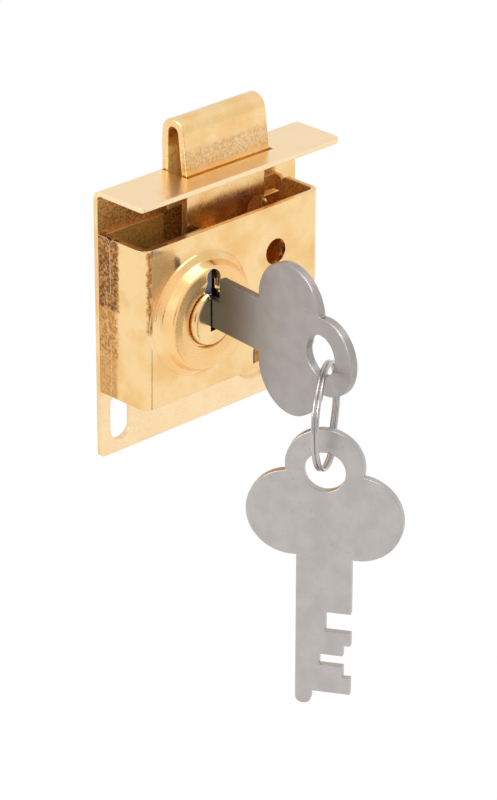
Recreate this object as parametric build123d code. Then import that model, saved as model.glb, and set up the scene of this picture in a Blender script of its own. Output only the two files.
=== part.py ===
"""Flat-key mailbox and drawer latch lock, with two flat steel keys on a split ring.

Millimetres. +Z is up, the way the bolt points. -Y is the front, where the key goes in.
The parts are drawn from the lower left corner of the mounting plate's back face (x to the
right, z up, y = 0 on the back face), and written with the origin at that face's middle.
"""
from build123d import *
from math import cos, radians, sin, tan
import os

# ---- driving dimensions ---------------------------------------------------------------
PLATE_W, PLATE_H = 41.3, 43.9        # mounting plate
SHEET = 0.8                          # plate, tray and cover sheet
LIP_DEPTH = 10.6                     # back face to the front edge of the lip
BEND_R = 1.5                         # outer radius of the plate's top bend
LIP_LEFT_R, LIP_RIGHT_R = 0.5, 1.0   # the lip's two front corners

CASE_LEFT, CASE_RIGHT = 0.05, 36.7
CASE_BOTTOM, CASE_TOP = 11.1, 36.9
CASE_FRONT = -10.95                  # front face of the cover
SEAM_Y = -3.4                        # where the tray's flanges meet the cover's sides
COVER_BEND_R = 1.7
TAB_BOTTOM, TAB_TOP, TAB_DEPTH = 20.0, 28.0, 0.8   # cover tabs in the flange notches
SIDE_TIP_R = 0.8                     # rounding of the cover sides' rear top corners

KEY_X, KEY_Z = 11.5, 23.9            # the plug's axis of rotation
BOLT_THROW = 5.8

SCREW_R = 2.07                       # clearance for a 4 mm screw
SCREW_X, SCREW_Z = 27.6, 29.0        # screw through the whole lock
LOW_SCREW_X, LOW_SCREW_Z = 32.6, 7.8  # screw through the plate, lower right
SLOT_X, SLOT_BOTTOM, SLOT_TOP = 4.0, 2.0, 10.0   # adjusting slot, lower left
SEAT_R, SEAT_FLAT_R = 4.85, 3.1      # dished screw seats

# ---- key -------------------------------------------------------------------------------
KEY_T, KEY_EDGE_R = 1.3, 0.14        # thickness and the rounding of its stamped edges
SHOULDER_Y = -16.0                   # shoulder of the shank when the key is home
SHANK_W, BACK_EDGE = 8.4, -1.05      # shank width, and its back edge from the axis
BIT_R = BACK_EDGE + SHANK_W          # full bit height from the axis
KEY_MID = BACK_EDGE + SHANK_W / 2
STEP_R, CUT_1_R, CUT_2_R = 6.22, 3.5, 2.6
TIP_TOP = 1.4
CUT_1_END, BIT_1_STEP, CUT_2_START = 3.3, 5.4, 7.2        # distances from the shoulder
CUT_2_END, BIT_2_FULL, TIP_START, KEY_END = 9.05, 11.0, 13.65, 15.9
LOBE_S, LOBE_OFF, LOBE_R = -16.05, 5.0, 6.9               # the bow's two side lobes
END_LOBE_S, END_LOBE_R = -24.05, 6.0
BOW_HOLE_S, BOW_HOLE_R = -23.2, 3.15
KEY_LEAN = 5.0                       # degrees: the loose key leans to the left in its slot
LEAN_Y = -11.25                      # the depth it leans about, half way along the plug
TIP_HOLE_R = 2.3                     # hole for the key's tip in the tray and plate

# ---- embossed collar and plug -----------------------------------------------------------
COLLAR_BACK = -12.85                 # flat inner face behind the collar
COLLAR_HOLE_R, COLLAR_HOLE_FRONT, COLLAR_CREST = 4.8, -13.3, -13.8
KEYHOLE_W, KEYHOLE_TOP = 2.7, 7.9
PLUG_FLANGE_R, PLUG_R, PLUG_NOSE_R = 6.0, 4.4, 4.45
PLUG_FRONT, PLUG_BACK, PLUG_SLOT_W = -14.1, -8.4, 2.1
WARD_FRONT, WARD_T, WARD_HOLE_R = -8.3, 0.8, 2.95
WARD_SLOT_R, WARD_SLOT_TOP = 1.25, 8.15

# ---- bolt --------------------------------------------------------------------------------
BOLT_T = 1.3
BOLT_LEFT, BOLT_RIGHT, BOLT_TOP = 13.0, 30.1, 52.4
BOLT_BACK, BOLT_FRONT = -0.9, -6.4   # outer faces of the folded sheet
REAR_LEG_BOTTOM, NOSE_EDGE_R = 37.6, 0.22
SHANK_RIGHT, WEB_RIGHT, SHOULDER_Z = 29.1, 32.3, 36.5
WEB_BOTTOM, TAIL_LEFT, TAIL_RIGHT, TAIL_BOTTOM = 25.0, 15.5, 22.0, 17.6
TALON_Z, WINDOW_TOP, WINDOW_RIGHT = KEY_Z + 4.3, KEY_Z + 8.1, KEY_X + 7.0
GUIDE_X, GUIDE_Z, GUIDE_R = 17.2, 19.9, 1.0
STUMP_X, STUMP_Z, STUMP_R = KEY_X + 9.6, KEY_Z + 9.0, 0.9

# ---- levers ------------------------------------------------------------------------------
PIVOT_X, PIVOT_Z, PIVOT_R = KEY_X + 8.0, KEY_Z - 9.5, 1.5
LEVER_T = 0.9
LEVERS = {                           # name: (front face y, belly x from the key axis, lift)
    "front": (-4.95, 6.9, 5.5),
    "rear": (-3.65, 6.65, 7.5),
}
LEVER_BORE_GAP, STUMP_GAP = 0.05, 0.25
ANCHOR_X, ANCHOR_Z, ANCHOR_R = 27.8, 21.6, 0.8

# ---- bolt spring and its seat --------------------------------------------------------------
SPRING_X, SPRING_Y, SPRING_R, SPRING_WIRE_R = 24.7, -8.15, 1.4, 0.22
SPRING_TURNS = 7
SEAT_LEFT, SEAT_RIGHT, SEAT_BOTTOM, SEAT_TOP = 22.75, 26.9, 12.0, 14.9
WINDOW_GAP = 0.35                    # gap left of the seat's tenon in the cover

# ---- ring and spare key ----------------------------------------------------------------------
RING_R, RING_WIRE_R, RING_PITCH, RING_TURNS = 7.9, 0.28, 0.6, 2.0
RING_ANGLE = 58.0                    # ring plane, degrees from +Y towards +X
RING_END = -48.0                     # where the wire's ends lie, from the ring's far side
RING_Y, RING_Z = -39.85, 17.6        # middle of the ring, under the hole of the key in the lock
HANG_GAP = 1.85                      # wire to the top of the spare key's hole

RIVETS = [(4.6, 29.6), (33.8, 30.0), (7.4, 13.0), (31.5, 15.8)]
RIVET_R, RIVET_GAP, RIVET_HEAD_R, RIVET_HEAD_H = 0.9, 0.02, 1.5, 0.5
WARD_POSTS = {"upper": (4.4, 33.4), "lower": (3.4, 14.6), "base": (12.6, 13.4)}
POST_R, TENON_R = 1.25, 0.8


# ---- helpers -----------------------------------------------------------------------------------
def facing(y):
    """Drawing plane at y, seen from the front: local x, y are world x, z."""
    return Plane(origin=(0, y, 0), x_dir=(1, 0, 0), z_dir=(0, -1, 0))


def slab(profile, back, front):
    """A flat piece between two depths."""
    return extrude(facing(back) * profile, amount=back - front)


def disc(x, z, radius, back, front):
    """A round bar along Y."""
    return slab(Pos(x, z) * Circle(radius), back, front)


def box(x0, x1, y0, y1, z0, z1):
    """A block between its low and high corners."""
    middle = ((x0 + x1) / 2, (y0 + y1) / 2, (z0 + z1) / 2)
    return Pos(*middle) * Box(abs(x1 - x0), abs(y1 - y0), abs(z1 - z0))


def rounded(points, radii):
    """A closed outline whose corners have the given radii, 0 for a sharp one."""
    face = make_face(Polyline(*points, close=True))
    for point, radius in zip(points, radii):
        if radius:
            corner = face.vertices().sort_by_distance((*point, 0))[0]
            face = fillet(corner, radius)
    return face


def upright_slot(x, z_low, z_high, radius):
    """A vertical slot outline between two end centres."""
    return Pos(x, (z_low + z_high) / 2) * Rot(0, 0, 90) * SlotCenterToCenter(z_high - z_low, radius * 2)


def turned(points, x, z):
    """A body of revolution about a Y axis from (radius, y) points."""
    plane = Plane(origin=(x, 0, z), x_dir=(1, 0, 0), z_dir=(0, 0, 1))
    profile = plane * make_face(Polyline(*points, close=True))
    return revolve(profile, axis=Axis((x, 0, z), (0, 1, 0)))


def save(name, shape):
    """Write one piece with the origin moved to the middle of the plate's back face."""
    export_step(Pos(-PLATE_W / 2, 0, -PLATE_H / 2) * shape, f"parts/{name}.step")


# ---- fixed pieces ----------------------------------------------------------------------------------
def mounting_plate():
    """Back plate with the lip bent forward over the case."""
    side = rounded(
        [(0, 0), (0, PLATE_H), (-LIP_DEPTH, PLATE_H), (-LIP_DEPTH, PLATE_H - SHEET),
         (-SHEET, PLATE_H - SHEET), (-SHEET, 0)],
        [0, BEND_R, 0, 0, BEND_R - SHEET, 0],
    )
    plate = extrude(Plane.YZ * side, amount=PLATE_W)
    for side, radius in [(-1, LIP_RIGHT_R), (0, LIP_LEFT_R)]:
        lip_corners = plate.edges().filter_by(Axis.Z).group_by(Axis.Y)[0].sort_by(Axis.X)
        plate = fillet(lip_corners[side], radius)
    plate_corners = plate.edges().filter_by(Axis.Y).group_by(Axis.Z)[0]
    plate = fillet(plate_corners, 0.6)
    bolt_slot = box(BOLT_LEFT - 0.25, BOLT_RIGHT + 0.5, -6.8, -0.82, PLATE_H - 2, PLATE_H + 1)
    seat = turned([(0, -1), (SEAT_R + 0.2, -1), (SEAT_R, -SHEET), (SEAT_R - 0.45, -0.36), (0, -0.36)],
                  LOW_SCREW_X, LOW_SCREW_Z)
    plate -= bolt_slot + seat
    plate -= slab(upright_slot(SLOT_X, SLOT_BOTTOM + SCREW_R, SLOT_TOP - SCREW_R, SCREW_R), 1, -2)
    for x, z in [(SCREW_X, SCREW_Z), (LOW_SCREW_X, LOW_SCREW_Z)]:
        plate -= disc(x, z, SCREW_R, 1, -2)
    plate -= disc(KEY_X, KEY_Z, TIP_HOLE_R, 1, -2)
    for x, z in RIVETS:
        plate -= disc(x, z, RIVET_R + RIVET_GAP, 1, -2)
    return plate


def case_tray():
    """Shallow back half of the case: panel and two side flanges, notched for the cover."""
    left, right = CASE_LEFT, CASE_RIGHT
    outer = box(left, right, SEAM_Y + 0.05, -SHEET, CASE_BOTTOM, CASE_TOP)
    inner = box(left + SHEET, right - SHEET, SEAM_Y - 1, -2 * SHEET, CASE_BOTTOM - 1, CASE_TOP + 1)
    tray = outer - inner
    flange_tips = tray.edges().filter_by(Axis.X).group_by(Axis.Y)[0].group_by(Axis.Z)[-1]
    tray = fillet(flange_tips, 1.0)
    notch_y = SEAM_Y + TAB_DEPTH
    tray -= box(left - 1, right + 1, SEAM_Y - 1, notch_y + 0.05, TAB_BOTTOM - 0.1, TAB_TOP + 0.1)
    tray -= box(BOLT_LEFT - 0.4, BOLT_RIGHT + 0.4, -3, 0, REAR_LEG_BOTTOM - BOLT_THROW - 0.35, CASE_TOP + 1)
    tray -= disc(SCREW_X, SCREW_Z, SCREW_R, 0, -3)
    tray -= disc(KEY_X, KEY_Z, TIP_HOLE_R, 0, -3)
    for x, z in RIVETS:
        tray -= disc(x, z, RIVET_R + RIVET_GAP, 0, -3)
    for x, z in [*WARD_POSTS.values(), (PIVOT_X, PIVOT_Z), (ANCHOR_X, ANCHOR_Z)]:
        tray -= disc(x, z, TENON_R, 0, -3)
    return tray


def collar():
    """The embossed ring of the cover, drawn in from the front face."""
    rim_r = 9.9
    outline = rounded(
        [(rim_r + 0.6, CASE_FRONT), (rim_r, CASE_FRONT), (rim_r - 0.2, CASE_FRONT - 0.25),
         (8.8, -11.85), (8.05, -13.4), (6.4, COLLAR_CREST),
         (COLLAR_HOLE_R, COLLAR_HOLE_FRONT), (COLLAR_HOLE_R, COLLAR_BACK), (7.5, COLLAR_BACK),
         (7.95, -11.3), (8.9, -10.75), (9.35, CASE_FRONT + SHEET), (rim_r + 0.6, CASE_FRONT + SHEET)],
        [0, 0.1, 0.1, 0.6, 0.7, 0.8, 0.15, 0, 0.1, 0.2, 0.2, 0.2, 0],
    )
    plane = Plane(origin=(KEY_X, 0, KEY_Z), x_dir=(1, 0, 0), z_dir=(0, 0, 1))
    return revolve(plane * outline, axis=Axis((KEY_X, 0, KEY_Z), (0, 1, 0)))


def screw_dish():
    """Dished seat round the upper screw hole, pressed into the cover."""
    depth = 0.45
    return turned(
        [(SCREW_R, CASE_FRONT + depth), (SEAT_FLAT_R, CASE_FRONT + depth), (SEAT_R, CASE_FRONT),
         (SEAT_R + 0.3, CASE_FRONT), (SEAT_R + 0.3, CASE_FRONT + SHEET), (SEAT_R - 0.2, CASE_FRONT + SHEET),
         (SEAT_FLAT_R - 0.2, CASE_FRONT + SHEET + depth), (SCREW_R, CASE_FRONT + SHEET + depth)],
        SCREW_X, SCREW_Z)


def case_cover():
    """Front half of the case: face, two sides, tabs, keyhole collar, windows."""
    left, right = CASE_LEFT, CASE_RIGHT
    outer = box(left, right, CASE_FRONT, SEAM_Y, CASE_BOTTOM, CASE_TOP)
    outer = fillet(outer.edges().filter_by(Axis.Z).sort_by(Axis.Y)[:2], COVER_BEND_R)
    inner = box(left + SHEET, right - SHEET, CASE_FRONT + SHEET, SEAM_Y + 1, CASE_BOTTOM - 1, CASE_TOP + 1)
    inner = fillet(inner.edges().filter_by(Axis.Z).sort_by(Axis.Y)[:2], COVER_BEND_R - SHEET)
    cover = outer - inner
    rear_tips = cover.edges().filter_by(Axis.X).group_by(Axis.Y)[-1].group_by(Axis.Z)[-1]
    cover = fillet(rear_tips, SIDE_TIP_R)
    for x0 in (left, right - SHEET):
        cover += box(x0, x0 + SHEET, SEAM_Y - 0.5, SEAM_Y + TAB_DEPTH, TAB_BOTTOM, TAB_TOP)
    cover -= disc(KEY_X, KEY_Z, 9.9, 0, -20) - box(-5, left + SHEET, -20, 0, 0, 50)
    cover += collar()
    cover -= disc(SCREW_X, SCREW_Z, SEAT_R, CASE_FRONT + 2, CASE_FRONT - 1)
    cover += screw_dish()
    keyhole = upright_slot(KEY_X, KEY_Z, KEY_Z + KEYHOLE_TOP - KEYHOLE_W / 2, KEYHOLE_W / 2)
    cover -= slab(keyhole, -11.2, -20)
    window = rounded(
        [(SEAT_LEFT - WINDOW_GAP, SEAT_BOTTOM), (SEAT_RIGHT, SEAT_BOTTOM), (SEAT_RIGHT, SEAT_TOP),
         (SEAT_LEFT - WINDOW_GAP, SEAT_TOP)],
        [0, 0, 0, 0.9],
    )
    cover -= slab(window, CASE_FRONT + 2, CASE_FRONT - 1)
    return cover


def tray_rivets():
    """Four rivets that hold the tray to the plate, flush at the back."""
    rivets = []
    for x, z in RIVETS:
        face_y = -2 * SHEET
        head = turned([(0, 0), (RIVET_R, 0), (RIVET_R, face_y), (RIVET_HEAD_R, face_y),
                       (RIVET_HEAD_R - 0.1, face_y - 0.25), (RIVET_HEAD_R - 0.5, face_y - RIVET_HEAD_H),
                       (0, face_y - RIVET_HEAD_H)], x, z)
        rivets.append(head)
    return Compound(children=rivets)


def ward_plate():
    """Fixed ward in the key's second cut, which also keeps the plug in its collar."""
    outline = rounded([(1.4, 12.0), (21.3, 12.0), (21.3, 27.0), (15.5, 35.6), (1.4, 35.6)],
                      [1.5, 1.5, 2.0, 2.0, 1.5])
    keyhole = upright_slot(KEY_X, KEY_Z, KEY_Z + WARD_SLOT_TOP - WARD_SLOT_R, WARD_SLOT_R)
    outline -= Pos(KEY_X, KEY_Z) * Circle(WARD_HOLE_R) + keyhole
    for x, z in WARD_POSTS.values():
        outline -= Pos(x, z) * Circle(TENON_R)
    outline -= Pos(GUIDE_X, GUIDE_Z) * Circle(GUIDE_R)
    return slab(outline, WARD_FRONT + WARD_T, WARD_FRONT)


def ward_post(x, z):
    """Stand-off between tray and ward plate, riveted over at the front."""
    back, shoulder = -2 * SHEET, WARD_FRONT + WARD_T
    return turned([(0, -SHEET), (TENON_R, -SHEET), (TENON_R, back), (POST_R, back), (POST_R, shoulder),
                   (TENON_R, shoulder), (TENON_R, WARD_FRONT), (POST_R, WARD_FRONT),
                   (TENON_R, WARD_FRONT - 0.35), (0, WARD_FRONT - 0.35)], x, z)


def bolt_guide_stud():
    """Stud on the ward plate that the bolt's tail slides on."""
    ward_back = WARD_FRONT + WARD_T
    return turned([(0, -5.05), (GUIDE_R, -5.05), (GUIDE_R, BOLT_FRONT - 0.15), (1.7, BOLT_FRONT - 0.15),
                   (1.7, ward_back), (GUIDE_R, ward_back), (GUIDE_R, WARD_FRONT), (1.6, WARD_FRONT),
                   (1.2, WARD_FRONT - 0.4), (0, WARD_FRONT - 0.4)], GUIDE_X, GUIDE_Z)


def lever_post():
    """Post that both levers turn on."""
    return turned([(0, -SHEET), (TENON_R, -SHEET), (TENON_R, -2 * SHEET), (PIVOT_R, -2 * SHEET),
                   (PIVOT_R, -4.85), (PIVOT_R - 0.15, -5.0), (0, -5.0)], PIVOT_X, PIVOT_Z)


def lever_ring(back, front):
    """A spacing washer on the lever post."""
    ring = Circle(2.6) - Circle(PIVOT_R + LEVER_BORE_GAP)
    return slab(Pos(PIVOT_X, PIVOT_Z) * ring, back, front)


def lever_spring_anchor():
    """Pin that the levers' springs push against."""
    pin = disc(ANCHOR_X, ANCHOR_Z, ANCHOR_R, -2 * SHEET, -5.0)
    return pin + disc(ANCHOR_X, ANCHOR_Z, TENON_R, -SHEET, -2 * SHEET)


def spring_seat():
    """Seat of the bolt spring, staked into the cover's window."""
    seat = box(SEAT_LEFT, SEAT_RIGHT, CASE_FRONT, -6.65, SEAT_BOTTOM, SEAT_TOP)
    seat = fillet(seat.edges().filter_by(Axis.Y).group_by(Axis.Z)[-1].sort_by(Axis.X)[0], 0.7)
    stub = Pos(SPRING_X, SPRING_Y, SEAT_TOP + 0.75) * Cylinder(0.9, 1.5)
    return seat + stub


# ---- bolt ----------------------------------------------------------------------------------------------
def bolt():
    """Sheet folded into a round-nosed U: short rear leg, long working front leg."""
    fold = FilletPolyline(
        (BOLT_BACK, REAR_LEG_BOTTOM), (BOLT_BACK, 48.0), (BOLT_BACK - 0.15, BOLT_TOP),
        (BOLT_FRONT + 0.95, BOLT_TOP), (BOLT_FRONT, 44.3), (BOLT_FRONT, TAIL_BOTTOM),
        radius=[3.0, 2.3, 2.3, 6.0],
    )
    strip = make_face(offset(fold, amount=BOLT_T, side=Side.LEFT, closed=True))
    sheet = extrude(Plane.YZ * strip, amount=WEB_RIGHT)
    sheet -= box(-1, BOLT_LEFT, -9, 1, 0, 60)
    sheet -= box(BOLT_RIGHT, 40, -9, 1, SHOULDER_Z, 60)
    sheet -= box(SHANK_RIGHT, 40, -9, -4, SHOULDER_Z, PLATE_H - SHEET)
    front_zone = (-9, -4)
    sheet -= box(-1, WINDOW_RIGHT, *front_zone, TALON_Z, WINDOW_TOP)
    sheet -= box(-1, TAIL_LEFT, *front_zone, 0, TALON_Z)
    sheet -= box(TAIL_RIGHT, 40, *front_zone, 0, WEB_BOTTOM)
    sheet -= slab(upright_slot(SCREW_X, SCREW_Z, SCREW_Z + BOLT_THROW, SCREW_R + 0.13), -4, -9)
    sheet -= slab(upright_slot(GUIDE_X, GUIDE_Z, GUIDE_Z + BOLT_THROW, GUIDE_R + 0.08), -4, -9)
    sheet -= disc(STUMP_X, STUMP_Z, STUMP_R, -4, -9)
    for x in (BOLT_LEFT, BOLT_RIGHT):
        side_edges = sheet.edges().filter_by_position(Axis.X, x - 0.01, x + 0.01)
        nose_edges = side_edges.filter_by(lambda edge: edge.center().Z > PLATE_H)
        sheet = fillet(nose_edges, NOSE_EDGE_R)
    lug = box(SPRING_X - 2, SPRING_X + 1.9, -9.6, BOLT_FRONT + 0.5, WEB_BOTTOM, WEB_BOTTOM + BOLT_T)
    return sheet + lug


def bolt_stump():
    """Pin on the bolt that runs in the levers' gates."""
    return turned([(0, -2.45), (STUMP_R, -2.45), (STUMP_R, BOLT_FRONT), (1.4, BOLT_FRONT),
                   (1.1, BOLT_FRONT - 0.35), (0, BOLT_FRONT - 0.35)], STUMP_X, STUMP_Z)


def bolt_spring():
    """Compression spring between the seat and the bolt's lug."""
    length = WEB_BOTTOM - SEAT_TOP
    rise = length - 2 * SPRING_WIRE_R
    path = Helix(pitch=rise / SPRING_TURNS, height=rise, radius=SPRING_R)
    wire = Plane(origin=path @ 0, z_dir=path % 0) * Circle(SPRING_WIRE_R)
    coil = sweep(wire, path=path, is_frenet=True)
    return Pos(SPRING_X, SPRING_Y, SEAT_TOP + SPRING_WIRE_R) * coil


# ---- levers ------------------------------------------------------------------------------------------------
def gate(lift):
    """The stump's path in a lever: it drops by the throw while the lever turns by its lift."""
    x, z = STUMP_X - PIVOT_X, STUMP_Z - BOLT_THROW - PIVOT_Z
    turn = radians(lift)
    end = (PIVOT_X + x * cos(turn) - z * sin(turn), PIVOT_Z + x * sin(turn) + z * cos(turn))
    path = Line((STUMP_X, STUMP_Z), end)
    return SlotCenterToCenter(path.length, 2 * (STUMP_R + STUMP_GAP)), path


def lever(front_y, belly, lift):
    """Lever with a belly for the key's bit and a gate for the bolt's stump."""
    edge = KEY_X + belly
    outline = rounded(
        [(PIVOT_X - 2.9, PIVOT_Z - 2.9), (PIVOT_X + 3.0, PIVOT_Z - 2.9), (PIVOT_X + 3.0, PIVOT_Z + 4.6),
         (KEY_X + 12.0, KEY_Z + 0.5), (KEY_X + 12.0, KEY_Z + 12.0), (edge, KEY_Z + 12.0),
         (edge, KEY_Z - 2.5), (PIVOT_X - 2.9, PIVOT_Z + 1.0)],
        [2.6, 2.6, 1.0, 1.0, 1.6, 1.0, 1.0, 0.5],
    )
    outline -= Pos(PIVOT_X, PIVOT_Z) * Circle(PIVOT_R + LEVER_BORE_GAP)
    slot, path = gate(lift)
    direction = path % 0
    angle = Vector(1, 0, 0).get_signed_angle(direction, Vector(0, 0, 1))
    middle = path @ 0.5
    outline -= Pos(middle.X, middle.Y) * Rot(0, 0, angle) * slot
    return slab(outline, front_y + LEVER_T, front_y)


def lever_spring(front_y):
    """Leaf spring on a lever's edge, its free end just off the anchor pin."""
    root_x = PIVOT_X + 3.15
    path = FilletPolyline((root_x, PIVOT_Z - 0.2), (root_x, PIVOT_Z + 2.2), (root_x + 2.5, PIVOT_Z + 7.9),
                          radius=[2.5])
    return slab(trace(path, 0.3), front_y + LEVER_T - 0.1, front_y + 0.1)


# ---- plug, keys and ring ----------------------------------------------------------------------------------------
def keyway_plug():
    """Turning plug: domed nose in the collar, flange behind it, slot for the key."""
    outline = rounded(
        [(0, PLUG_BACK), (PLUG_R, PLUG_BACK), (PLUG_R, -11.95), (PLUG_FLANGE_R, -11.95),
         (PLUG_FLANGE_R, COLLAR_BACK + 0.1), (PLUG_NOSE_R, COLLAR_BACK + 0.1), (PLUG_NOSE_R, PLUG_FRONT),
         (0, PLUG_FRONT)],
        [0, 0.3, 0.2, 0.2, 0, 0, 1.1, 0],
    )
    plane = Plane(origin=(KEY_X, 0, KEY_Z), x_dir=(1, 0, 0), z_dir=(0, 0, 1))
    plug = revolve(plane * outline, axis=Axis((KEY_X, 0, KEY_Z), (0, 1, 0)))
    half = PLUG_SLOT_W / 2
    plug -= box(KEY_X - half, KEY_X + half, -20, 0, KEY_Z - 1.75, KEY_Z + 10)
    return plug


def flat_key():
    """Key blank along +X from the shoulder to the tip, bits towards +Y, mid-plane at z = 0."""
    shank = make_face(Polyline(
        (LOBE_S, BACK_EDGE), (TIP_START, BACK_EDGE), (KEY_END, BACK_EDGE), (KEY_END, TIP_TOP),
        (TIP_START, TIP_TOP), (TIP_START, BIT_R), (BIT_2_FULL, BIT_R), (BIT_2_FULL, STEP_R),
        (CUT_2_END, STEP_R), (CUT_2_END, CUT_2_R), (CUT_2_START, CUT_2_R), (CUT_2_START, STEP_R),
        (BIT_1_STEP, STEP_R), (BIT_1_STEP, BIT_R), (CUT_1_END, BIT_R), (CUT_1_END, CUT_1_R),
        (0, CUT_1_R), (0, BIT_R), (LOBE_S, BIT_R), close=True))
    tip_corners = shank.vertices().group_by(Axis.X)[-1]
    shank = fillet(tip_corners, 1.1)
    bow = Pos(END_LOBE_S, KEY_MID) * Circle(END_LOBE_R)
    for side in (-1, 1):
        bow += Pos(LOBE_S, KEY_MID + side * LOBE_OFF) * Circle(LOBE_R)
    outline = shank + bow - Pos(BOW_HOLE_S, KEY_MID) * Circle(BOW_HOLE_R)
    blank = extrude(outline, amount=KEY_T / 2, both=True)
    rims = blank.edges().group_by(Axis.Z)
    return fillet(rims[0] + rims[-1], KEY_EDGE_R)


def key_in_lock():
    """The key, home in the plug and leaning to one side of its slot."""
    lean = radians(KEY_LEAN)
    place = Plane(origin=(KEY_X, LEAN_Y, KEY_Z), x_dir=(sin(lean), cos(lean), 0), z_dir=(cos(lean), -sin(lean), 0))
    return place * Pos(SHOULDER_Y - LEAN_Y, 0, 0) * flat_key()


def ring_middle():
    """Centre of the split ring, in the middle plane of the leaning key."""
    return Vector(KEY_X - (LEAN_Y - RING_Y) * tan(radians(KEY_LEAN)), RING_Y, RING_Z)


def ring_directions():
    """Along the ring's plane, and its axis, both level."""
    turn = radians(RING_ANGLE)
    return Vector(sin(turn), cos(turn), 0), Vector(cos(turn), -sin(turn), 0)


def split_ring():
    """Two turns of spring wire side by side."""
    along, axis = ring_directions()
    height = RING_PITCH * RING_TURNS
    path = Helix(pitch=RING_PITCH, height=height, radius=RING_R)
    wire = Plane(origin=path @ 0, z_dir=path % 0) * Circle(RING_WIRE_R)
    coil = Pos(0, 0, -height / 2) * Rot(0, 0, RING_END) * sweep(wire, path=path, is_frenet=True)
    place = Plane(origin=ring_middle(), x_dir=along, z_dir=axis)
    return place * coil


def spare_key():
    """The second key, hanging from the ring by its bow hole."""
    along, axis = ring_directions()
    wire_z = ring_middle().Z - RING_R
    hole_z = wire_z + RING_WIRE_R + HANG_GAP - BOW_HOLE_R
    middle = ring_middle()
    origin = Vector(middle.X, middle.Y, hole_z + BOW_HOLE_S) - axis * KEY_MID
    return Plane(origin=origin, x_dir=(0, 0, -1), z_dir=along * -1) * flat_key()


# ---- write every piece ---------------------------------------------------------------------------------------------
def pieces():
    """Each node's name and shape."""
    yield "mounting_plate", mounting_plate()
    yield "case_tray", case_tray()
    yield "case_cover", case_cover()
    yield "tray_rivets", tray_rivets()
    yield "ward_plate", ward_plate()
    for name, (x, z) in WARD_POSTS.items():
        yield f"ward_post_{name}", ward_post(x, z)
    yield "bolt_guide_stud", bolt_guide_stud()
    yield "lever_post", lever_post()
    yield "lever_spacer", lever_ring(-2 * SHEET, -2.65)
    yield "lever_washer", lever_ring(-3.7, -4.0)
    yield "lever_spring_anchor", lever_spring_anchor()
    yield "spring_seat", spring_seat()
    yield "bolt", bolt()
    yield "bolt_stump", bolt_stump()
    yield "bolt_spring", bolt_spring()
    for name, (front_y, belly, lift) in LEVERS.items():
        yield f"lever_{name}", lever(front_y, belly, lift)
        yield f"lever_spring_{name}", lever_spring(front_y)
    yield "keyway_plug", keyway_plug()
    yield "key_in_lock", key_in_lock()
    yield "split_ring", split_ring()
    yield "spare_key", spare_key()


os.makedirs("parts", exist_ok=True)
for node, shape in pieces():
    save(node, shape)
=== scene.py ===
"""Looks of the flat-key latch lock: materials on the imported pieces, studio, lights and camera.

Metres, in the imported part's own frame: the origin is the middle of the mounting plate's back
face, +Z up, -Y towards the front.
"""
import math

import bpy
from mathutils import Matrix, Vector


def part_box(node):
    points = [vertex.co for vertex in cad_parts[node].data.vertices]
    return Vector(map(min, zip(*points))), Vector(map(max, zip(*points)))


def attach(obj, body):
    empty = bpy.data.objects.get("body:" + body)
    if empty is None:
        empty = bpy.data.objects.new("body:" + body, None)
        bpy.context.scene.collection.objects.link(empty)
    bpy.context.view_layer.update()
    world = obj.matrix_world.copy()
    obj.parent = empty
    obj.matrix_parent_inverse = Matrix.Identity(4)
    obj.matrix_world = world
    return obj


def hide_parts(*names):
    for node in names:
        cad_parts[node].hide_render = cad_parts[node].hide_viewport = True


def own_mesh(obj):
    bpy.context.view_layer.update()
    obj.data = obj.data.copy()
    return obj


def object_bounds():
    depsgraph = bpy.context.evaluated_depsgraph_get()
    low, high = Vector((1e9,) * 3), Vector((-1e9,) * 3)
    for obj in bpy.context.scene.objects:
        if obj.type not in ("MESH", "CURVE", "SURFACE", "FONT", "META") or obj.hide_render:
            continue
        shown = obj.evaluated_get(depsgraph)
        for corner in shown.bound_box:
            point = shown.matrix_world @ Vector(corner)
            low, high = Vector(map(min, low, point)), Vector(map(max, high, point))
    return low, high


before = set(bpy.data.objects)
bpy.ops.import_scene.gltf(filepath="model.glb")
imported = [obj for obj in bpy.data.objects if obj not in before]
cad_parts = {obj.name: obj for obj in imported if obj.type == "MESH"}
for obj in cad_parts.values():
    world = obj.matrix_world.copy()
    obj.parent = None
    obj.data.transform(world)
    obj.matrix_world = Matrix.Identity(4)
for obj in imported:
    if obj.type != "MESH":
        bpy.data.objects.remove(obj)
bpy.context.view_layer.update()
MM = 0.001

# ---- camera ---------------------------------------------------------------------------------
CAMERA_AZIMUTH, CAMERA_ELEVATION, CAMERA_ROLL = -44.263, 25.363, 0.104
CAMERA_DISTANCE = 577.476 * MM
CAMERA_AIM = Vector((6.552, -5.0, -19.723)) * MM
SENSOR_WIDTH, LENS = 36.0, 267.833

# ---- studio ---------------------------------------------------------------------------------
FLOOR_GAP = 12 * MM
WORLD_STRENGTH = 0.9
CARD_BROWN = (0.20, 0.095, 0.045)

# ---- brass colours --------------------------------------------------------------------------
BRASS_PALE = (0.95, 0.68, 0.345)
BRASS_DEEP = (0.89, 0.55, 0.22)
# painted highlight: the paler colour laid on the sheet's edges
BRASS_EDGE_HIGHLIGHT = (0.93, 0.70, 0.46)
# paler pink brass: the painted sheen on the plate's lip, and the plate's paler lower band
BRASS_PINK = (1.0, 0.78, 0.50)
LEVER_PALE = (0.7, 0.5, 0.26)
COLLAR_TINT = (0.98, 0.60, 0.24)
DUST = (0.85, 0.74, 0.58)

# ---- stain and painted light colours --------------------------------------------------------
AMBER = (0.52, 0.22, 0.045)
# painted light: the bright amber inside the bolt's fold
PAINTED_FOLD_LIGHT = (1.0, 0.72, 0.26)
# painted light: the bright amber laid inside the case and on the plate behind it
PAINTED_LIGHT_AMBER = (0.95, 0.50, 0.11)
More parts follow.
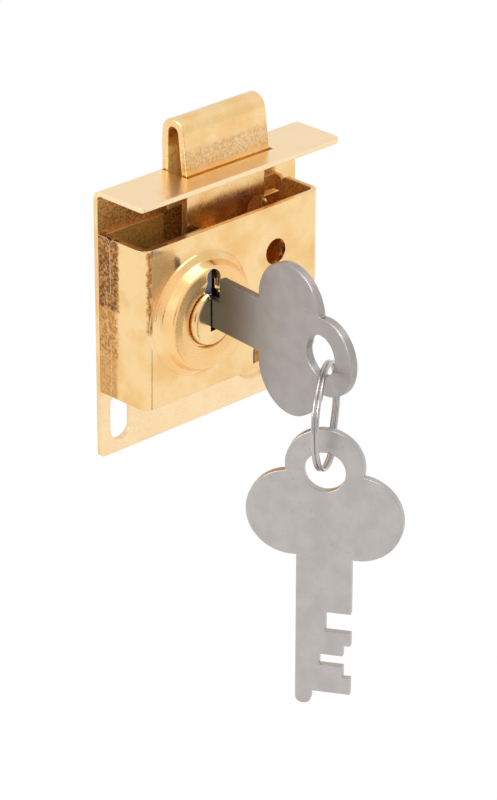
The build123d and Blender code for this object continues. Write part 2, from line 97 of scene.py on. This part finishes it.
# painted reflection: the brown-amber patch at the left of the case's face
PAINTED_REFLECTION_AMBER = (0.93, 0.50, 0.17)
# dark brown of the painted shade and the painted dark reflections, and of the spring seat
DARK_BROWN = (0.11, 0.046, 0.018)
RUST = (0.42, 0.22, 0.13)

# ---- steel colours --------------------------------------------------------------------------
STEEL_PALE = (0.53, 0.50, 0.48)
STEEL_DEEP = (0.475, 0.445, 0.43)
# pale grey of the faint scratches, and of the painted highlight on the edges
STEEL_SCRATCH_AND_EDGE_HIGHLIGHT = (0.80, 0.78, 0.76)
STEEL_PIT = (0.25, 0.23, 0.22)
# painted shade: a darker copy of the key steel for the key in the lock, with a painted dark reflection on
# its shank near the lock
SHADED_KEY_PALE = (0.425, 0.395, 0.375)
SHADED_KEY_DEEP = (0.385, 0.355, 0.34)
SHANK_DARK_REFLECTION = (0.13, 0.145, 0.165)

# ---- sizes ----------------------------------------------------------------------------------
EDGE_RADIUS = 0.16 * MM          # rounding of the sheet's edges, in shading only
# these patch borders serve the stains and the painted light and shade patches alike
PATCH_SOFT, PATCH_WOBBLE = 0.45, 0.8    # mm, how a stain's border fades and wanders
COLLAR_HEIGHT = 2.82             # mm, from the case's face to the crest of the collar


def node(tree, kind, at=(0, 0), **values):
    """Add a shader node and set its properties or inputs by name."""
    made = tree.nodes.new(kind)
    made.location = at
    for name, value in values.items():
        if hasattr(made, name):
            setattr(made, name, value)
        else:
            made.inputs[name.replace("_", " ")].default_value = value
    return made


def new_material(name):
    """An empty node material with a Principled shader joined to its output."""
    material = bpy.data.materials.new(name)
    material.use_nodes = True
    tree = material.node_tree
    tree.nodes.clear()
    shader = node(tree, "ShaderNodeBsdfPrincipled", (400, 0))
    output = node(tree, "ShaderNodeOutputMaterial", (700, 0))
    tree.links.new(shader.outputs["BSDF"], output.inputs["Surface"])
    return material, tree, shader


def ramp(tree, source, stops, at=(0, 0)):
    """A colour ramp fed by a value, with (position, colour) stops."""
    made = node(tree, "ShaderNodeValToRGB", at)
    elements = made.color_ramp.elements
    while len(elements) > 1:
        elements.remove(elements[-1])
    elements[0].position = stops[0][0]
    elements[0].color = (*stops[0][1], 1.0)
    for position, colour in stops[1:]:
        elements.new(position).color = (*colour, 1.0)
    tree.links.new(source, made.inputs["Fac"])
    return made.outputs["Color"]


def span(tree, source, low, high, at=(0, 0)):
    """Stretch the middle of a noise value over a range."""
    made = node(tree, "ShaderNodeMapRange", at)
    made.inputs["From Min"].default_value = 0.3
    made.inputs["From Max"].default_value = 0.7
    made.inputs["To Min"].default_value = low
    made.inputs["To Max"].default_value = high
    tree.links.new(source, made.inputs["Value"])
    return made.outputs["Result"]


def noise(tree, place, per_mm, detail=4.0, stretch=(1, 1, 1), at=(0, 0)):
    """Noise over the object's own coordinates, in features per millimetre."""
    mapping = node(tree, "ShaderNodeMapping", at)
    mapping.inputs["Scale"].default_value = [per_mm / MM * s for s in stretch]
    tree.links.new(place, mapping.inputs["Vector"])
    made = node(tree, "ShaderNodeTexNoise", (at[0] + 200, at[1]))
    made.inputs["Scale"].default_value = 1.0
    made.inputs["Detail"].default_value = detail
    tree.links.new(mapping.outputs["Vector"], made.inputs["Vector"])
    return made.outputs["Fac"]


def bump(tree, shader, height, strength, distance):
    """Add a bump from a height value, chained after any earlier one."""
    made = node(tree, "ShaderNodeBump", (200, -400))
    made.inputs["Strength"].default_value = strength
    made.inputs["Distance"].default_value = distance
    tree.links.new(height, made.inputs["Height"])
    earlier = shader.inputs["Normal"].links
    if earlier:
        tree.links.new(earlier[0].from_socket, made.inputs["Normal"])
    tree.links.new(made.outputs["Normal"], shader.inputs["Normal"])


def mix(tree, factor, first, second):
    """Blend two colours, or a socket and a colour, by a factor socket."""
    made = node(tree, "ShaderNodeMixRGB", (0, 200))
    tree.links.new(factor, made.inputs["Fac"])
    for socket, colour in zip(("Color1", "Color2"), (first, second)):
        if isinstance(colour, tuple):
            made.inputs[socket].default_value = (*colour, 1.0)
        else:
            tree.links.new(colour, made.inputs[socket])
    return made.outputs["Color"]


def maths(tree, kind, first, second):
    """One arithmetic step; either side may be a number or a socket."""
    made = node(tree, "ShaderNodeMath", (-200, 0))
    made.operation = kind
    for index, value in enumerate((first, second)):
        if isinstance(value, (int, float)):
            made.inputs[index].default_value = value
        else:
            tree.links.new(value, made.inputs[index])
    return made.outputs[0]


def fade(tree, value, start, end):
    """0 before start and 1 after end, smoothly; start may be above end."""
    made = node(tree, "ShaderNodeMapRange", (-300, 0))
    made.interpolation_type = "SMOOTHSTEP"
    tree.links.new(value, made.inputs["Value"])
    flip = start > end
    made.inputs["From Min"].default_value = min(start, end)
    made.inputs["From Max"].default_value = max(start, end)
    made.inputs["To Min"].default_value = 1.0 if flip else 0.0
    made.inputs["To Max"].default_value = 0.0 if flip else 1.0
    return made.outputs["Result"]


def zone(tree, place, bounds):
    """1 inside a box given in mm as {axis: (low, high)}, with borders that fade and wander."""
    parts = node(tree, "ShaderNodeSeparateXYZ", (-800, 600))
    tree.links.new(place, parts.inputs[0])
    wander = maths(tree, "MULTIPLY_ADD", noise(tree, place, 1.1, 4.0, at=(-800, 800)), PATCH_WOBBLE * MM)
    wander.node.inputs[2].default_value = -PATCH_WOBBLE * MM / 2
    mask = None
    for axis, (low, high) in bounds.items():
        moved = maths(tree, "ADD", parts.outputs[axis], wander)
        rise = fade(tree, moved, (low - PATCH_SOFT) * MM, (low + PATCH_SOFT) * MM)
        fall = fade(tree, moved, (high + PATCH_SOFT) * MM, (high - PATCH_SOFT) * MM)
        both = maths(tree, "MULTIPLY", rise, fall)
        mask = both if mask is None else maths(tree, "MULTIPLY", mask, both)
    return mask


def edge_mask(tree, shader):
    """Round the sheet's edges in shading, and return how near an edge each point lies."""
    bevel = node(tree, "ShaderNodeBevel", (-600, -700))
    bevel.samples = 6
    bevel.inputs["Radius"].default_value = EDGE_RADIUS
    tree.links.new(bevel.outputs["Normal"], shader.inputs["Normal"])
    true_normal = node(tree, "ShaderNodeNewGeometry", (-600, -900)).outputs["Normal"]
    dot = node(tree, "ShaderNodeVectorMath", (-400, -800))
    dot.operation = "DOT_PRODUCT"
    tree.links.new(bevel.outputs["Normal"], dot.inputs[0])
    tree.links.new(true_normal, dot.inputs[1])
    return fade(tree, dot.outputs["Value"], 0.995, 0.90)


def stain_and_light_patch(x, y, z, colour, amount, spots=0.0, dull=0.0):
    """A patch of colour in a box of (low, high) mm on each axis, for a stain as well as for painted light
    and shade.

    spots is the share of it broken up into fine speckle, and dull how much less of a mirror it is.
    """
    bounds = {"X": x, "Y": y, "Z": z}
    return {"bounds": bounds, "colour": colour, "amount": amount, "spots": spots, "dull": dull}


def patch_mask(tree, place, patch, one):
    """How strongly a patch covers each point, from 0 to its amount."""
    mask = maths(tree, "MULTIPLY", zone(tree, place, one["bounds"]), one["amount"])
    if not one["spots"]:
        return mask
    speckle = maths(tree, "MULTIPLY_ADD", fade(tree, patch, 0.32, 0.72), one["spots"])
    speckle.node.inputs[2].default_value = 1.0 - one["spots"]
    return maths(tree, "MULTIPLY", mask, speckle)


def add_stains_and_light(tree, place, colour, gloss, stains_and_light):
    """Lay stains and patches of painted light and shade over a colour and a roughness, and return both with
    what is left of the metal.
    """
    patch = noise(tree, place, 2.4, 8.0, at=(-800, -500))
    metal = None
    for one in stains_and_light:
        mask = patch_mask(tree, place, patch, one)
        # dark brown patches, which are painted shade and painted dark reflections, fade in through amber
        if one["colour"] == DARK_BROWN:
            colour = mix(tree, fade(tree, mask, 0.0, 0.55), colour, AMBER)
            colour = mix(tree, fade(tree, mask, 0.25, 1.0), colour, DARK_BROWN)
        else:
            colour = mix(tree, mask, colour, one["colour"])
        gloss = maths(tree, "ADD", gloss, maths(tree, "MULTIPLY", mask, 0.15))
        if one["dull"]:
            shine = maths(tree, "SUBTRACT", 1.0, maths(tree, "MULTIPLY", mask, one["dull"]))
            metal = shine if metal is None else maths(tree, "MULTIPLY", metal, shine)
    return colour, gloss, metal


def brass(name, pale=BRASS_PALE, deep=BRASS_DEEP, rough=(0.12, 0.26), waves=0.25, stains_and_light=()):
    """Bright brass plate over pressed steel: clouding, orange peel, grain, stains with patches of painted
    light and shade, dust, and a painted pale highlight on the edges.
    """
    material, tree, shader = new_material(name)
    place = node(tree, "ShaderNodeTexCoord", (-1000, 0)).outputs["Object"]
    edge_highlight_mask = edge_mask(tree, shader)
    cloud = noise(tree, place, 0.22, 5.0, at=(-800, 200))
    fine = noise(tree, place, 3.2, 5.0, at=(-800, -100))
    peel = noise(tree, place, 1.3, 3.0, at=(-800, -300))
    slow = noise(tree, place, 0.16, 2.0, at=(-800, -400))
    colour = ramp(tree, cloud, [(0.34, deep), (0.60, pale)], (-300, 200))
    grain = maths(tree, "MULTIPLY", fade(tree, fine, 0.52, 0.68), 0.30)
    colour = mix(tree, grain, colour, deep)
    gloss = span(tree, fine, *rough, (-300, -100))
    colour, gloss, metal = add_stains_and_light(tree, place, colour, gloss, stains_and_light)
    dust = fade(tree, noise(tree, place, 4.5, 1.0, at=(-800, 1000)), 0.755, 0.80)
    colour = mix(tree, dust, colour, DUST)
    # painted highlight: the edges are made paler, on top of the real highlights from the rounded bevel
    # normal
    colour = mix(tree, edge_highlight_mask, colour, BRASS_EDGE_HIGHLIGHT)
    tree.links.new(colour, shader.inputs["Base Color"])
    tree.links.new(gloss, shader.inputs["Roughness"])
    shader.inputs["Metallic"].default_value = 1.0
    if metal:
        tree.links.new(metal, shader.inputs["Metallic"])
    bump(tree, shader, slow, waves, 0.5 * MM)
    bump(tree, shader, peel, 0.10, 0.03 * MM)
    bump(tree, shader, fine, 0.08, 0.02 * MM)
    return material


def steel(name, pale=STEEL_PALE, deep=STEEL_DEEP, rough=(0.30, 0.42), painted_dark_span=None):
    """Stamped steel: even nickel grey, fine grain, faint scratches, small pits and a painted bright
    highlight on the edges.

    painted_dark_span is (start, end) in mm along Y: the steel darkens from start to end, a painted dark
    reflection.
    """
    material, tree, shader = new_material(name)
    place = node(tree, "ShaderNodeTexCoord", (-1000, 0)).outputs["Object"]
    edge_highlight_mask = edge_mask(tree, shader)
    cloud = noise(tree, place, 0.35, 5.0, at=(-800, 200))
    brush = noise(tree, place, 6.5, 5.0, at=(-800, -100))
    scratch = noise(tree, place, 2.6, 2.0, stretch=(1, 0.06, 1), at=(-800, -300))
    pits = fade(tree, noise(tree, place, 2.2, 3.0, at=(-800, 1000)), 0.68, 0.74)
    colour = ramp(tree, cloud, [(0.38, deep), (0.60, pale)], (-300, 200))
    colour = mix(tree, maths(tree, "MULTIPLY", fade(tree, brush, 0.46, 0.62), 0.55), colour, deep)
    colour = mix(tree, maths(tree, "MULTIPLY", fade(tree, scratch, 0.70, 0.76), 0.12), colour, STEEL_SCRATCH_AND_EDGE_HIGHLIGHT)
    colour = mix(tree, maths(tree, "MULTIPLY", pits, 0.5), colour, STEEL_PIT)
    # painted dark reflection: the steel darkens along Y towards the lock
    if painted_dark_span:
        start, end = painted_dark_span
        parts = node(tree, "ShaderNodeSeparateXYZ", (-800, 600))
        tree.links.new(place, parts.inputs[0])
        colour = mix(tree, fade(tree, parts.outputs["Y"], start * MM, end * MM), colour, SHANK_DARK_REFLECTION)
    # painted highlight: the edges are made paler, on top of the real highlights from the rounded bevel
    # normal
    colour = mix(tree, edge_highlight_mask, colour, STEEL_SCRATCH_AND_EDGE_HIGHLIGHT)
    tree.links.new(colour, shader.inputs["Base Color"])
    tree.links.new(span(tree, brush, *rough, (-300, -100)), shader.inputs["Roughness"])
    shader.inputs["Metallic"].default_value = 1.0
    bump(tree, shader, brush, 0.12, 0.03 * MM)
    return material


def dress(material, *names):
    """Give CAD nodes one material."""
    for name in names:
        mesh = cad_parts[name].data
        mesh.materials.clear()
        mesh.materials.append(material)


def studio():
    """White floor and a white world."""
    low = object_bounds()[0]
    bpy.ops.mesh.primitive_plane_add(size=6.0, location=(0, 0, low[2] - FLOOR_GAP))
    floor = bpy.context.object
    floor.name = "studio_floor"
    floor.data.materials.append(glow("studio_white", (1.0, 1.0, 1.0), 1.0))
    world = bpy.data.worlds.new("studio_world")
    bpy.context.scene.world = world
    world.use_nodes = True
    background = world.node_tree.nodes["Background"]
    background.inputs["Color"].default_value = (1.0, 1.0, 1.0, 1)
    background.inputs["Strength"].default_value = WORLD_STRENGTH


def glow(name, colour, strength):
    """A plain glowing material."""
    material = bpy.data.materials.new(name)
    material.use_nodes = True
    tree = material.node_tree
    tree.nodes.clear()
    emission = node(tree, "ShaderNodeEmission", (0, 0))
    emission.inputs["Color"].default_value = (*colour, 1.0)
    emission.inputs["Strength"].default_value = strength
    output = node(tree, "ShaderNodeOutputMaterial", (200, 0))
    tree.links.new(emission.outputs["Emission"], output.inputs["Surface"])
    return material


def flag(name, azimuth, elevation, distance, width, height, shade):
    """A card that only reflections see, as photographers stand beside bright metal."""
    bpy.ops.mesh.primitive_plane_add(size=1.0)
    card = bpy.context.object
    card.name = name
    direction = compass(azimuth, elevation)
    card.scale = (width, height, 1)
    card.location = CAMERA_AIM + direction * distance
    card.rotation_euler = direction.to_track_quat("Z", "Y").to_euler()
    card.data.materials.append(glow(name, shade, 1.0))
    card.visible_camera = False
    card.visible_diffuse = False
    card.visible_shadow = False


def soft_light(name, azimuth, elevation, distance, size, power):
    """A square white area light aimed at the object's middle."""
    light = bpy.data.lights.new(name, "AREA")
    light.shape = "SQUARE"
    light.size = size
    light.energy = power
    placed = bpy.data.objects.new(name, light)
    bpy.context.scene.collection.objects.link(placed)
    direction = compass(azimuth, elevation)
    placed.location = CAMERA_AIM + direction * distance
    placed.rotation_euler = direction.to_track_quat("Z", "Y").to_euler()


def compass(azimuth, elevation):
    """Unit vector: azimuth 0 stands in front (-Y), positive to the right, elevation above level."""
    az, el = math.radians(azimuth), math.radians(elevation)
    return Vector((math.sin(az) * math.cos(el), -math.cos(az) * math.cos(el), math.sin(el)))


def camera():
    """The camera, from its direction, distance and aim."""
    lens = bpy.data.cameras.new("camera")
    lens.sensor_fit = "HORIZONTAL"
    lens.sensor_width = SENSOR_WIDTH
    lens.lens = LENS
    lens.clip_start = 0.01
    placed = bpy.data.objects.new("camera", lens)
    bpy.context.scene.collection.objects.link(placed)
    direction = compass(CAMERA_AZIMUTH, CAMERA_ELEVATION)
    roll = Matrix.Rotation(math.radians(CAMERA_ROLL), 4, "Z").to_quaternion()
    turn = direction.to_track_quat("Z", "Y") @ roll
    placed.rotation_euler = turn.to_euler()
    placed.location = CAMERA_AIM + direction * CAMERA_DISTANCE
    bpy.context.scene.camera = placed


def case_painted_light_and_tint():
    """Painted light and tint on the case: a painted amber reflection and a painted dark reflection down the
    bend at the left, a painted dark reflection along the seam, painted light and painted shade inside, and
    an orange tint on the collar.
    """
    low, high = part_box("case_cover")
    left, top = low[0] / MM, high[2] / MM
    front = low[1] / MM + COLLAR_HEIGHT
    seam = (left - 1, left + 1.4)
    hollow = ((left + 1, 15.8), (-9.5, -0.5), (-9, top + 1))
    return [
        # painted reflection: an amber patch at the upper left of the case's face, which is less of a mirror
        # there
        stain_and_light_patch((left + 1.2, left + 6), (front - 1, front + 0.5), (4.5, 14), PAINTED_REFLECTION_AMBER, 0.65, dull=0.6),
        # painted light inside the case, which is less of a mirror there, with speckled painted shade over
        # it
        stain_and_light_patch(*hollow, PAINTED_LIGHT_AMBER, 0.95, dull=0.6),
        stain_and_light_patch(*hollow, DARK_BROWN, 0.4, spots=0.9),
        # painted dark reflection: an amber band down the side along the seam, darker brown towards its
        # upper part
        stain_and_light_patch(seam, (-4.6, 1), (-12, top + 1), AMBER, 0.9, spots=0.5),
        stain_and_light_patch(seam, (-5.0, 1), (-4, top + 1), DARK_BROWN, 0.5, spots=0.9),
        stain_and_light_patch(seam, (-5.2, 1), (3.5, top + 1), DARK_BROWN, 1.0, spots=0.7, dull=0.3),
        # painted dark reflection: a speckled dark brown stripe down the bend at the case's front left
        stain_and_light_patch((left + 0.8, left + 1.3), (front - 1, front + 0.9), (1.5, top), DARK_BROWN, 0.9, spots=0.5),
        stain_and_light_patch((left + 3, left + 19), (front - 4, front - 0.3), (-7, 10), COLLAR_TINT, 0.7, dull=0.35),
    ]


def plate_painted_light_and_tint():
    """Painted light and tint on the plate: a painted pale sheen on the lip, a paler lower band, and painted
    amber light with painted shade behind the case.
    """
    width = (-22, 22)
    hollow = ((-20.4, 16.2), (-9.5, -0.5), (-9, 20.9))
    return [
        # painted sheen: the top of the lip made paler
        stain_and_light_patch(width, (-12, 1), (20.9, 24), BRASS_PINK, 0.85),
        stain_and_light_patch(width, (-2, -0.5), (-23, -11.5), BRASS_PINK, 0.75),
        # painted light behind the case, which is less of a mirror there, with speckled painted shade over
        # it
        stain_and_light_patch(*hollow, PAINTED_LIGHT_AMBER, 0.95, dull=0.6),
        stain_and_light_patch(*hollow, DARK_BROWN, 0.65, spots=0.8, dull=0.1),
    ]


def bolt_stain_and_painted_light():
    """Stain and painted light on the bolt: the rubbed band above the lip, and painted amber light inside
    the fold.
    """
    width = (-9, 11)
    return [
        stain_and_light_patch(width, (-7.5, -4.6), (22.7, 26.0), RUST, 0.55, spots=0.8),
        # painted light inside the fold, with almost no mirror left
        stain_and_light_patch(width, (-5.2, -2.1), (0, 25.7), PAINTED_FOLD_LIGHT, 0.95, dull=0.9),
    ]


def materials():
    """Every node's material."""
    case = brass("case_brass", rough=(0.10, 0.20), waves=0.35, stains_and_light=case_painted_light_and_tint())
    plate = brass("plate_brass", rough=(0.14, 0.24), stains_and_light=plate_painted_light_and_tint())
    bolt = brass("bolt_brass", rough=(0.16, 0.30), stains_and_light=bolt_stain_and_painted_light())
    lever = brass("lever_brass", pale=LEVER_PALE, rough=(0.3, 0.45))
    # painted shade: the key in the lock gets a darker copy of the key steel, with a painted dark reflection
    # on its shank
    shaded_key = steel("shaded_key_steel", SHADED_KEY_PALE, SHADED_KEY_DEEP, painted_dark_span=(-31.0, -14.0))
    dress(plate, "mounting_plate")
    dress(case, "case_cover", "case_tray")
    dress(brass("seat_brass", pale=AMBER, deep=DARK_BROWN), "spring_seat")
    dress(bolt, "bolt")
    dress(brass("plug_brass"), "keyway_plug")
    dress(brass("rivet_brass"), "tray_rivets")
    dress(lever, "lever_front", "lever_rear")
    dress(steel("key_steel"), "spare_key")
    dress(shaded_key, "key_in_lock")
    dress(steel("ring_steel", rough=(0.12, 0.22)), "split_ring")
    dress(steel("inner_steel"), "ward_plate", "ward_post_upper", "ward_post_lower", "ward_post_base",
          "bolt_guide_stud", "bolt_stump", "lever_post", "lever_spacer", "lever_washer",
          "lever_spring_anchor")
    dress(steel("spring_steel", rough=(0.2, 0.3)), "bolt_spring", "lever_spring_front", "lever_spring_rear")


def pressed_spring():
    """A copy of the bolt's spring with its own mesh, attached to the case in place of the packed one."""
    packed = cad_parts["bolt_spring"]
    coil = packed.copy()
    coil.data = packed.data.copy()
    coil.name = "bolt_spring_coil"
    bpy.context.scene.collection.objects.link(coil)
    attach(coil, "case")
    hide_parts("bolt_spring")
    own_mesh(coil)


camera()
materials()
pressed_spring()
studio()
flag("brown_card", azimuth=-44, elevation=-6, distance=0.34, width=0.12, height=0.30, shade=CARD_BROWN)
soft_light("key_light", azimuth=-105, elevation=30, distance=0.6, size=0.25, power=1.2)
soft_light("top_light", azimuth=20, elevation=75, distance=0.8, size=0.5, power=2.0)
bpy.context.scene.view_settings.view_transform = "Standard"
